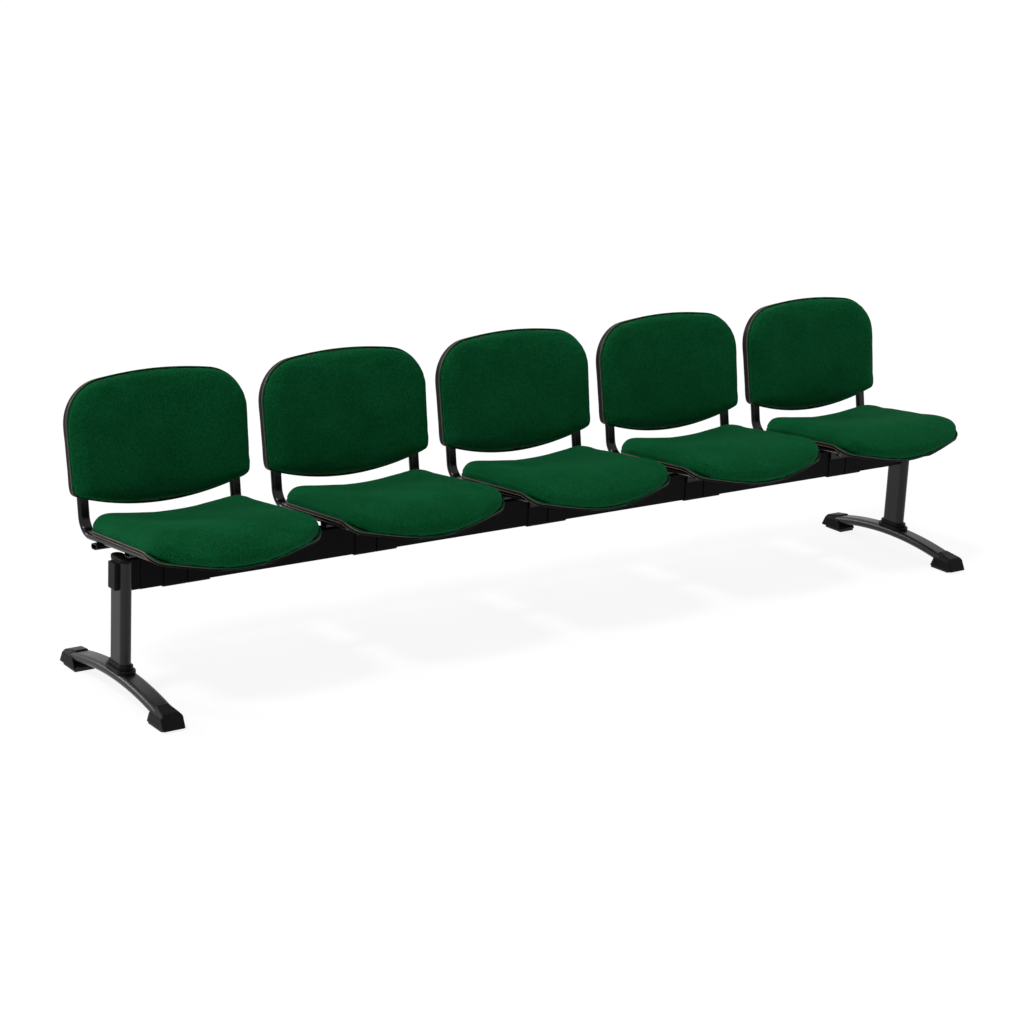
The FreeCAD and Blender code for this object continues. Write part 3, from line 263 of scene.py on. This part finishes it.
def colour_by(tree, shader, factor, stops):
    """Base colour that follows a factor through stops of place and colour."""
    item = node(tree, "ShaderNodeValToRGB")
    ramp_stops = item.color_ramp.elements
    while len(ramp_stops) < len(stops):
        ramp_stops.new(0.5)
    for stop, (place, colour) in zip(ramp_stops, stops):
        stop.position = place
        stop.color = (*colour, 1)
    tree.links.new(factor, item.inputs["Fac"])
    tree.links.new(item.outputs["Color"], shader.inputs["Base Color"])


def math_node(tree, operation, first, second):
    item = node(tree, "ShaderNodeMath", operation=operation)
    for i, value in enumerate((first, second)):
        if isinstance(value, (int, float)):
            item.inputs[i].default_value = value
        else:
            tree.links.new(value, item.inputs[i])
    return item.outputs[0]


def bump(tree, shader, height, strength, distance, under=None):
    item = node(tree, "ShaderNodeBump", Strength=strength, Distance=distance)
    tree.links.new(height, item.inputs["Height"])
    if under is not None:
        tree.links.new(under, item.inputs["Normal"])
    tree.links.new(item.outputs["Normal"], shader.inputs["Normal"])
    return item.outputs["Normal"]


def vary_roughness(tree, shader, factor, low, high):
    item = node(tree, "ShaderNodeMapRange")
    item.inputs["To Min"].default_value = low
    item.inputs["To Max"].default_value = high
    tree.links.new(factor, item.inputs["Value"])
    tree.links.new(item.outputs["Result"], shader.inputs["Roughness"])


def grey(value):
    return value, value, value


def brighter(colour, times):
    return tuple(channel * times for channel in colour)


# Materials

# Wave of the threads in radians per metre, and how far it wobbles in radians
THREAD_WAVE = 3000.0
THREAD_WOBBLE = 3.0
# Height of the flecks against that of the threads
FLECK_HEIGHT = 2.0
# Parts of the cloth's tone
FLECK_TONE = 0.85
BROAD_TONE = 0.15
THREAD_TONE = 0.05


def weave_material(name, across, along, deep, mid, bright):
    """Plain-woven cloth whose threads run along two axes of the object."""
    material, tree, shader = new_material(name, mid, roughness=0.9)
    coords = object_coords(tree)
    parts = node(tree, "ShaderNodeSeparateXYZ")
    tree.links.new(coords, parts.inputs["Vector"])
    wobble = noise_texture(tree, coords, scale=60, detail=2)
    waves = []
    for axis in (across, along):
        place = math_node(tree, "MULTIPLY", parts.outputs[axis], THREAD_WAVE)
        shift = math_node(tree, "MULTIPLY", wobble, THREAD_WOBBLE)
        place = math_node(tree, "ADD", place, shift)
        waves.append(math_node(tree, "SINE", place, 0.0))
    threads = math_node(tree, "MULTIPLY", waves[0], waves[1])
    fleck = noise_texture(tree, coords, scale=420, detail=3, rough=0.75)
    raised = math_node(tree, "MULTIPLY", fleck, FLECK_HEIGHT)
    height = math_node(tree, "ADD", threads, raised)
    broad = noise_texture(tree, coords, scale=9, detail=4)
    tone = math_node(tree, "MULTIPLY", fleck, FLECK_TONE)
    for share, part in ((BROAD_TONE, broad), (THREAD_TONE, threads)):
        tone = math_node(tree, "ADD", tone, math_node(tree, "MULTIPLY", part, share))
    colour_by(tree, shader, tone, [(0.37, deep), (0.51, mid), (0.66, bright)])
    vary_roughness(tree, shader, fleck, low=0.8, high=1.0)
    shader.inputs["Sheen Weight"].default_value = 0.10
    shader.inputs["Sheen Roughness"].default_value = 0.40
    shader.inputs["Sheen Tint"].default_value = (0.05, 0.75, 0.30, 1)
    shader.inputs["Specular IOR Level"].default_value = 0.04
    bump(tree, shader, height, strength=0.5, distance=0.0006)
    return material


def enamel_material(name, base, low, high, mirror):
    """Stoved paint: faint ripple, fine dust and slightly uneven gloss."""
    material, tree, shader = new_material(name, base, low)
    coords = object_coords(tree)
    ripple = noise_texture(tree, coords, scale=240, detail=2)
    broad = noise_texture(tree, coords, scale=14, detail=5, rough=0.6)
    dust = noise_texture(tree, coords, scale=900, detail=2)
    colour_by(tree, shader, broad, [(0.35, base), (0.75, brighter(base, 1.7))])
    vary_roughness(tree, shader, broad, low, high)
    shader.inputs["Specular IOR Level"].default_value = mirror
    under = bump(tree, shader, ripple, strength=0.12, distance=0.0006)
    bump(tree, shader, dust, strength=0.05, distance=0.0001, under=under)
    return material


def moulding_material(name, base, low, high, grain, mirror):
    """Moulded plastic with a spark-eroded grain."""
    material, tree, shader = new_material(name, base, low)
    coords = object_coords(tree)
    cells = node(tree, "ShaderNodeTexVoronoi", Scale=grain)
    tree.links.new(coords, cells.inputs["Vector"])
    broad = noise_texture(tree, coords, scale=22, detail=4)
    colour_by(tree, shader, broad, [(0.35, base), (0.7, brighter(base, 1.6))])
    vary_roughness(tree, shader, broad, low, high)
    shader.inputs["Specular IOR Level"].default_value = mirror
    bump(tree, shader, cells.outputs["Distance"], strength=0.25, distance=0.0003)
    return material


def rubber_material(name, base):
    """Dull rubber, scuffed lighter in places."""
    material, tree, shader = new_material(name, base, roughness=0.8)
    coords = object_coords(tree)
    scuff = noise_texture(tree, coords, scale=160, detail=5, rough=0.7)
    colour_by(tree, shader, scuff, [(0.45, base), (0.75, brighter(base, 2.2))])
    vary_roughness(tree, shader, scuff, low=0.7, high=0.95)
    bump(tree, shader, scuff, strength=0.3, distance=0.0005)
    return material


def plywood_material(name):
    """Bare plywood with its grain drawn out along the object's X axis."""
    material, tree, shader = new_material(name, (0.42, 0.28, 0.15), roughness=0.6)
    coords = object_coords(tree)
    stretch = node(tree, "ShaderNodeMapping", Scale=(1, 9, 9))
    tree.links.new(coords, stretch.inputs["Vector"])
    grain = noise_texture(tree, stretch.outputs["Vector"], scale=30, detail=6, rough=0.65)
    colour_by(tree, shader, grain, [(0.3, (0.3, 0.18, 0.09)), (0.7, (0.55, 0.4, 0.23))])
    vary_roughness(tree, shader, grain, low=0.5, high=0.75)
    bump(tree, shader, grain, strength=0.2, distance=0.0004)
    return material


def steel_material(name):
    """Blackened steel of bolts and screws, rubbed brighter in places."""
    material, tree, shader = new_material(name, (0.05, 0.05, 0.055), roughness=0.4)
    coords = object_coords(tree)
    rub = noise_texture(tree, coords, scale=420, detail=4, rough=0.6)
    colour_by(tree, shader, rub, [(0.45, (0.03, 0.03, 0.033)), (0.8, (0.16, 0.16, 0.17))])
    shader.inputs["Metallic"].default_value = 0.75
    vary_roughness(tree, shader, rub, low=0.3, high=0.5)
    bump(tree, shader, rub, strength=0.1, distance=0.0002)
    return material


GREEN = ((0.0004, 0.040, 0.0100), (0.0012, 0.063, 0.0170), (0.0080, 0.135, 0.0500))
SEAT_CLOTH = weave_material("seat_cloth", "X", "Y", *GREEN)
BACK_CLOTH = weave_material("back_cloth", "X", "Z", *GREEN)
GLOSS = enamel_material("gloss_enamel", grey(0.003), low=0.14, high=0.24, mirror=0.22)
LEG = enamel_material("leg_enamel", grey(0.005), low=0.30, high=0.42, mirror=0.28)
SATIN = enamel_material("satin_enamel", grey(0.004), low=0.4, high=0.55, mirror=0.04)
SHELL = moulding_material(
    "shell_moulding", grey(0.004), low=0.38, high=0.52, grain=1300, mirror=0.06
)
DARK = moulding_material(
    "dark_moulding", grey(0.004), low=0.34, high=0.5, grain=1000, mirror=0.06
)
# Brown-grey colour of the thin edge lines: a painted highlight of the lit lip edges of the seat
# pans and back shells, not a colour of their own
PAINTED_HIGHLIGHT_BEAD = moulding_material(
    "edge_bead_painted_highlight", (0.110, 0.080, 0.070), low=0.3, high=0.42, grain=900, mirror=0.20
)
SOLE = rubber_material("sole_rubber", grey(0.012))
BOARD = plywood_material("plywood")
STEEL = steel_material("dark_steel")

SLOT_MATERIALS = {
    "green_weave": SEAT_CLOTH,
    "plywood": BOARD,
    "black_moulding": SHELL,
    "dark_moulding": DARK,
    "gloss_black_enamel": GLOSS,
    "satin_black_enamel": SATIN,
    "sole_rubber": SOLE,
    "dark_steel": STEEL,
}
NODE_MATERIALS = {}
for side in ("left", "right"):
    NODE_MATERIALS[f"{side}_upright"] = LEG
    NODE_MATERIALS[f"{side}_foot_tube"] = LEG
for entry in frame["record"]["subparts"]:
    name = entry["node"]
    material = NODE_MATERIALS.get(name, SLOT_MATERIALS[entry["material_slot"]])
    for slot in frame["nodes"][name].material_slots:
        slot.material = material


# Piece helpers

# Points round a welt, a band or a thin edge line coloured as a painted highlight
TUBE_SIDES = 10


def new_object(name, data):
    item = bpy.data.objects.new(name, data)
    bpy.context.scene.collection.objects.link(item)
    return item


def new_piece(name, mesh, material, slot):
    piece = new_object(name, mesh)
    mesh.materials.clear()
    mesh.materials.append(material)
    for face in mesh.polygons:
        face.use_smooth = True
    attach(piece, "root")
    return piece


def mesh_from(name, vertices, faces):
    mesh = bpy.data.meshes.new(name)
    mesh.from_pydata([tuple(v) for v in vertices], [], faces)
    mesh.validate()
    mesh.update()
    return mesh


def tube_loop(points, half_width, half_height):
    """Vertices and faces of a closed oval tube that follows a closed line."""
    vertices = []
    faces = []
    count = len(points)
    centre = sum(points, Vector()) / count
    for i, point in enumerate(points):
        tangent = (points[(i + 1) % count] - points[i - 1]).normalized()
        outward = (point - centre) - tangent * (point - centre).dot(tangent)
        outward.normalize()
        upward = tangent.cross(outward).normalized()
        for k in range(TUBE_SIDES):
            angle = 2 * math.pi * k / TUBE_SIDES
            offset = outward * math.cos(angle) * half_width + upward * math.sin(angle) * half_height
            vertices.append(point + offset)
    for i in range(count):
        here = i * TUBE_SIDES
        there = ((i + 1) % count) * TUBE_SIDES
        for k in range(TUBE_SIDES):
            following = (k + 1) % TUBE_SIDES
            faces.append((here + k, here + following, there + following, there + k))
    return vertices, faces


# Mesh helpers

SMOOTH_FACTOR = 0.5


def evaluated_mesh(piece):
    bpy.context.view_layer.update()
    graph = bpy.context.evaluated_depsgraph_get()
    return bpy.data.meshes.new_from_object(piece.evaluated_get(graph))


def soften(piece, passes):
    smooth = piece.modifiers.new("soften", "SMOOTH")
    smooth.iterations = passes
    smooth.factor = SMOOTH_FACTOR


def rounded_copy(source, name, cell, passes):
    """Copy of a CAD node's mesh with even cells and softened edges."""
    piece = new_object(name, source.data.copy())
    cells = piece.modifiers.new("cells", "REMESH")
    cells.mode = "VOXEL"
    cells.voxel_size = cell
    soften(piece, passes)
    even = evaluated_mesh(piece)
    bpy.data.objects.remove(piece)
    return even


def coordinates(mesh):
    flat = np.empty(len(mesh.vertices) * 3)
    mesh.vertices.foreach_get("co", flat)
    return flat.reshape(-1, 3)


def set_coordinates(mesh, places):
    mesh.vertices.foreach_set("co", np.ascontiguousarray(places).ravel())
    mesh.update()


def vertex_normals(mesh):
    flat = np.empty(len(mesh.vertices) * 3)
    mesh.vertex_normals.foreach_get("vector", flat)
    return flat.reshape(-1, 3)


def smooth_step(values, low, high):
    share = np.clip((values - low) / (high - low), 0, 1)
    return share * share * (3 - 2 * share)


# Cushions: the solid's form, swollen a little inside its cover

VOXEL = 5 * MM
BLANK_PASSES = 4
COVER_PASSES = 8
SHRINK = 1.6 * MM
SWELL_CAP = 3.2 * MM
SWELL_FRAMES = 20
LEAST_WEIGHT = 0.02
CLOTH_SETTINGS = {
    "quality": 6,
    "mass": 0.3,
    "tension_stiffness": 40,
    "compression_stiffness": 40,
    "shear_stiffness": 12,
    "bending_stiffness": 4,
    "use_pressure": True,
    "uniform_pressure_force": 4,
    "vertex_group_mass": "held",
}

# Heights above the rim, in mm, between which a cushion gets free to swell
HELD_BELOW = 1.5
FREE_ABOVE = 9.0

# Unevenness of the foam: scales and sizes of the noise, then heights in mm
SLOW_SCALE = 9
SLOW_SIZE = 0.7 * MM
PUCKER_SCALE = 55
PUCKER_SIZE = 0.25 * MM
PUCKER_HEIGHT = 12
PUCKER_REACH = 9
STILL_BELOW = 2.0
UNEVEN_ABOVE = 10.0
# How far the noise moves on from one cushion to the next
SEED_STEP = (3.7, 1.3)

SEAM_HEIGHT = 7.0
SEAM_HALF_WIDTH = 2.2
SEAM_DEPTH = 1.3 * MM


def seat_height(places):
    """Height of world places above the seats' rim surface (mm)."""
    y = places[:, 1] / MM
    z = places[:, 2] / MM - RIM_HEIGHT
    along = y * math.cos(SEAT_TILT) - z * math.sin(SEAT_TILT)
    up = y * math.sin(SEAT_TILT) + z * math.cos(SEAT_TILT)
    ahead = np.minimum(along + SEAT_FLAT_FRONT, 0)
    below = up + FALL_RADIUS
    return np.where(ahead < 0, np.hypot(ahead, below) - FALL_RADIUS, up)


def back_height(places):
    """Distance of world places ahead of the middle back's rim surface (mm)."""
    y = places[:, 1] / MM - BACK_ORIGIN[0]
    z = places[:, 2] / MM - BACK_ORIGIN[1]
    forward = -y * math.cos(RECLINE) + z * math.sin(RECLINE)
    across = places[:, 0] / MM
    rim = BACK_RIM_ARC - np.sqrt(BACK_RIM_ARC**2 - across**2)
    return forward - rim


def inflate(piece, held, inner):
    """Let a cover swell under pressure from its inner places, up to a cap."""
    group = piece.vertex_groups.new(name="held")
    for i, weight in enumerate(held):
        if weight > LEAST_WEIGHT:
            group.add([i], float(weight), "REPLACE")
    settings = piece.modifiers.new("cloth", "CLOTH").settings
    for key, value in CLOTH_SETTINGS.items():
        setattr(settings, key, value)
    settings.effector_weights.gravity = 0
    scene = bpy.context.scene
    for step in range(1, SWELL_FRAMES + 1):
        scene.frame_set(step)
    moved = coordinates(evaluated_mesh(piece)) - inner
    piece.modifiers.clear()
    scene.frame_set(1)
    length = np.linalg.norm(moved, axis=1, keepdims=True)
    moved *= np.minimum(1, SWELL_CAP / np.maximum(length, TINY))
    set_coordinates(piece.data, inner + moved)
    piece.vertex_groups.clear()


def swell(piece, held):
    """Shrink a cushion, inflate it and make it finer; held is 1 where it stays put."""
    mesh = piece.data
    inner = coordinates(mesh) - vertex_normals(mesh) * (SHRINK * (1 - held))[:, None]
    set_coordinates(mesh, inner)
    inflate(piece, held, inner)
    soften(piece, COVER_PASSES)
    finer = piece.modifiers.new("finer", "SUBSURF")
    finer.levels = 1
    finer.render_levels = 1
    fine = evaluated_mesh(piece)
    piece.modifiers.clear()
    piece.data = fine


def fabric_play(mesh, height, seed):
    """Slow unevenness of foam under cloth, and small puckers above the seam."""
    places = coordinates(mesh)
    normals = vertex_normals(mesh)
    push = np.empty(len(places))
    for i, place in enumerate(places):
        spot = Vector(place) + Vector((seed * SEED_STEP[0], seed * SEED_STEP[1], 0))
        slow = noise.noise(spot * SLOW_SCALE)
        pucker = noise.noise(spot * PUCKER_SCALE)
        near_seam = math.exp(-((height[i] - PUCKER_HEIGHT) / PUCKER_REACH) ** 2)
        push[i] = SLOW_SIZE * slow + PUCKER_SIZE * pucker * near_seam
    free = smooth_step(height, STILL_BELOW, UNEVEN_ABOVE)
    set_coordinates(mesh, places + normals * (push * free)[:, None])


def sewn_seam(mesh, height):
    """Groove where the cover is sewn above its lower edge."""
    places = coordinates(mesh)
    normals = vertex_normals(mesh)
    groove = np.exp(-(((height - SEAM_HEIGHT) / SEAM_HALF_WIDTH) ** 2)) * SEAM_DEPTH
    set_coordinates(mesh, places - normals * groove[:, None])


def make_cushion(kind, material, height_of, seed):
    """Covers of one kind for all seats, swollen once on the middle seat."""
    source = frame["nodes"][f"{kind}_{MIDDLE_SEAT}"]
    blank = rounded_copy(source, f"{kind}_blank", VOXEL, BLANK_PASSES)
    master = new_object(f"{kind}_master", blank)
    held = 1 - smooth_step(height_of(coordinates(blank)), HELD_BELOW, FREE_ABOVE)
    swell(master, held)
    master_mesh = master.data
    bpy.data.objects.remove(master)
    for seat in SEATS:
        mesh = master_mesh.copy()
        mesh.name = f"{kind}_cover_{seat}"
        height = height_of(coordinates(mesh))
        fabric_play(mesh, height, seed + seat)
        sewn_seam(mesh, height)
        places = coordinates(mesh)
        places[:, 0] += seat_x(seat) * MM
        set_coordinates(mesh, places)
        piece = new_piece(f"{kind}_cover_{seat}", mesh, material, "green_weave")
        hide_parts(f"{kind}_{seat}")


make_cushion("seat_cushion", SEAT_CLOTH, seat_height, seed=10)
make_cushion("back_cushion", BACK_CLOTH, back_height, seed=30)


# Foot caps: the solids' form with moulded, softly rounded edges

CAP_CELL = 1.6 * MM
CAP_PASSES = 6

for side in ("left", "right"):
    source = frame["nodes"][f"{side}_foot_caps"]
    caps = rounded_copy(source, f"{side}_caps", CAP_CELL, CAP_PASSES)
    piece = new_piece(f"{side}_moulded_feet", caps, DARK, "dark_moulding")
    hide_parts(f"{side}_foot_caps")


# Sewn edges of the covers, and the rolled edges of the seat pans and back shells, whose thin
# lighter edge lines are painted highlights

# Half-width and half-height of a trim
WELT = (1.7 * MM, 1.7 * MM)
LINE = (1.1 * MM, 1.1 * MM)
BAND = (1.6 * MM, 4.6 * MM)
# The pair of moves is outward, and then up from a seat or forward from a back (mm)
TRIMS = (
    ("seat_welt", seat_loop, (-1.0, 2.2), WELT, SEAT_CLOTH, "green_weave"),
    ("seat_edge_band", seat_loop, (-0.8, -4.6), BAND, SHELL, "black_moulding"),
    # The upper and lower seat edge lines and the back edge line are painted highlights of lit lip
    # edges
    ("seat_edge_upper_painted_highlight", seat_loop, (0.4, -0.9), LINE, PAINTED_HIGHLIGHT_BEAD, "black_moulding"),
    ("seat_edge_lower_painted_highlight", seat_loop, (0.0, -8.6), LINE, PAINTED_HIGHLIGHT_BEAD, "black_moulding"),
    ("back_welt", back_loop, (-1.0, 2.4), WELT, BACK_CLOTH, "green_weave"),
    ("back_edge", back_loop, (0.4, -1.6), LINE, PAINTED_HIGHLIGHT_BEAD, "black_moulding"),
)

for seat in SEATS:
    for kind, loop, moves, halves, material, slot_name in TRIMS:
        trim = mesh_from(f"{kind}_{seat}", *tube_loop(loop(seat, *moves), *halves))
        new_piece(f"{kind}_{seat}", trim, material, slot_name)


# Floor, light and camera

FLOOR_HALF = 60.0
FLOOR_PAPER = 0.8
FLOOR_SHADE = 0.14
FLOOR_GLOW = 0.88
WORLD_LIGHT = 0.33
WHITE = (1, 1, 1, 1)
# Each lamp: direction towards it, strength, and how wide it looks in degrees
SUNS = {
    "key": ((-0.50, -0.12, 0.86), 1.5, 10.0),
    "overhead": ((0.10, 0.05, 1.0), 0.5, 40.0),
    "rim": ((-0.50, 0.75, 0.43), 1.0, 14.0),
}

# Camera fitted to the photograph: turn, rise and roll, then place and reach in
# metres, focal length and middle of view in pixels of a 1024 square, sensor in mm
CAMERA_TURN = math.radians(-35.7)
CAMERA_RISE = math.radians(14.9)
CAMERA_ROLL = math.radians(2.6)
CAMERA_BACK = 6.6124
CAMERA_RIGHT = -0.2086
CAMERA_UP = 0.4682
CAMERA_REACH = 200
FOCAL = 2403.2
VIEW_MIDDLE = (472.9, 443.2)
FRAME_SIZE = 1024.0
SENSOR = 36.0


def show_background(tree, lit, seen, output):
    """One shader for rays that gather light, another for rays that see the background."""
    path = node(tree, "ShaderNodeLightPath")
    ray = math_node(tree, "MAXIMUM", path.outputs["Is Camera Ray"], path.outputs["Is Glossy Ray"])
    ray = math_node(tree, "MAXIMUM", ray, path.outputs["Is Transmission Ray"])
    mix = node(tree, "ShaderNodeMixShader")
    tree.links.new(ray, mix.inputs[0])
    tree.links.new(lit.outputs[0], mix.inputs[1])
    tree.links.new(seen.outputs[0], mix.inputs[2])
    tree.links.new(mix.outputs[0], tree.nodes[output].inputs["Surface"])


def make_floor():
    half = FLOOR_HALF
    corners = [(-half, -half, 0), (half, -half, 0), (half, half, 0), (-half, half, 0)]
    mesh = mesh_from("floor", corners, [(0, 1, 2, 3)])
    floor = new_object("floor", mesh)
    material, tree, paper = new_material("floor_paper", grey(FLOOR_PAPER), roughness=1.0)
    paper.inputs["Specular IOR Level"].default_value = 0.0
    shade = node(tree, "ShaderNodeBsdfDiffuse", Color=(*grey(FLOOR_SHADE), 1))
    glow = node(tree, "ShaderNodeEmission", Strength=FLOOR_GLOW)
    both = node(tree, "ShaderNodeAddShader")
    tree.links.new(shade.outputs[0], both.inputs[0])
    tree.links.new(glow.outputs[0], both.inputs[1])
    show_background(tree, paper, both, "Material Output")
    mesh.materials.append(material)
    floor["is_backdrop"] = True


def make_world():
    world = bpy.data.worlds.new("studio")
    bpy.context.scene.world = world
    world.use_nodes = True
    tree = world.node_tree
    light = tree.nodes["Background"]
    light.inputs["Color"].default_value = WHITE
    light.inputs["Strength"].default_value = WORLD_LIGHT
    white = node(tree, "ShaderNodeBackground", Color=WHITE, Strength=1.0)
    show_background(tree, light, white, "World Output")


def make_suns():
    for name, (towards, strength, width) in SUNS.items():
        data = bpy.data.lights.new(name, "SUN")
        data.energy = strength
        data.angle = math.radians(width)
        lamp = new_object(name, data)
        lamp.rotation_euler = Vector(towards).to_track_quat("Z", "Y").to_euler()


def make_camera():
    level_share = math.cos(CAMERA_RISE)
    back = Vector((
        math.sin(CAMERA_TURN) * level_share,
        -math.cos(CAMERA_TURN) * level_share,
        math.sin(CAMERA_RISE),
    ))
    level = (-back).cross(Vector((0, 0, 1))).normalized()
    upright = level.cross(-back)
    right = level * math.cos(CAMERA_ROLL) + upright * math.sin(CAMERA_ROLL)
    up = upright * math.cos(CAMERA_ROLL) - level * math.sin(CAMERA_ROLL)
    place = back * CAMERA_BACK + right * CAMERA_RIGHT + up * CAMERA_UP
    data = bpy.data.cameras.new("camera")
    data.sensor_fit = "HORIZONTAL"
    data.sensor_width = SENSOR
    data.lens = FOCAL / FRAME_SIZE * SENSOR
    data.shift_x = (FRAME_SIZE / 2 - VIEW_MIDDLE[0]) / FRAME_SIZE
    data.shift_y = (VIEW_MIDDLE[1] - FRAME_SIZE / 2) / FRAME_SIZE
    data.clip_end = CAMERA_REACH
    camera = new_object("camera", data)
    axes = Matrix((right, up, back)).transposed()
    camera.matrix_world = Matrix.Translation(place) @ axes.to_4x4()
    bpy.context.scene.camera = camera


make_floor()
make_world()
make_suns()
make_camera()
bpy.context.scene.view_settings.view_transform = "Standard"

for word, box in (("cad", cad_box), ("visual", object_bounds())):
    [[float(value) for value in corner] for corner in box]
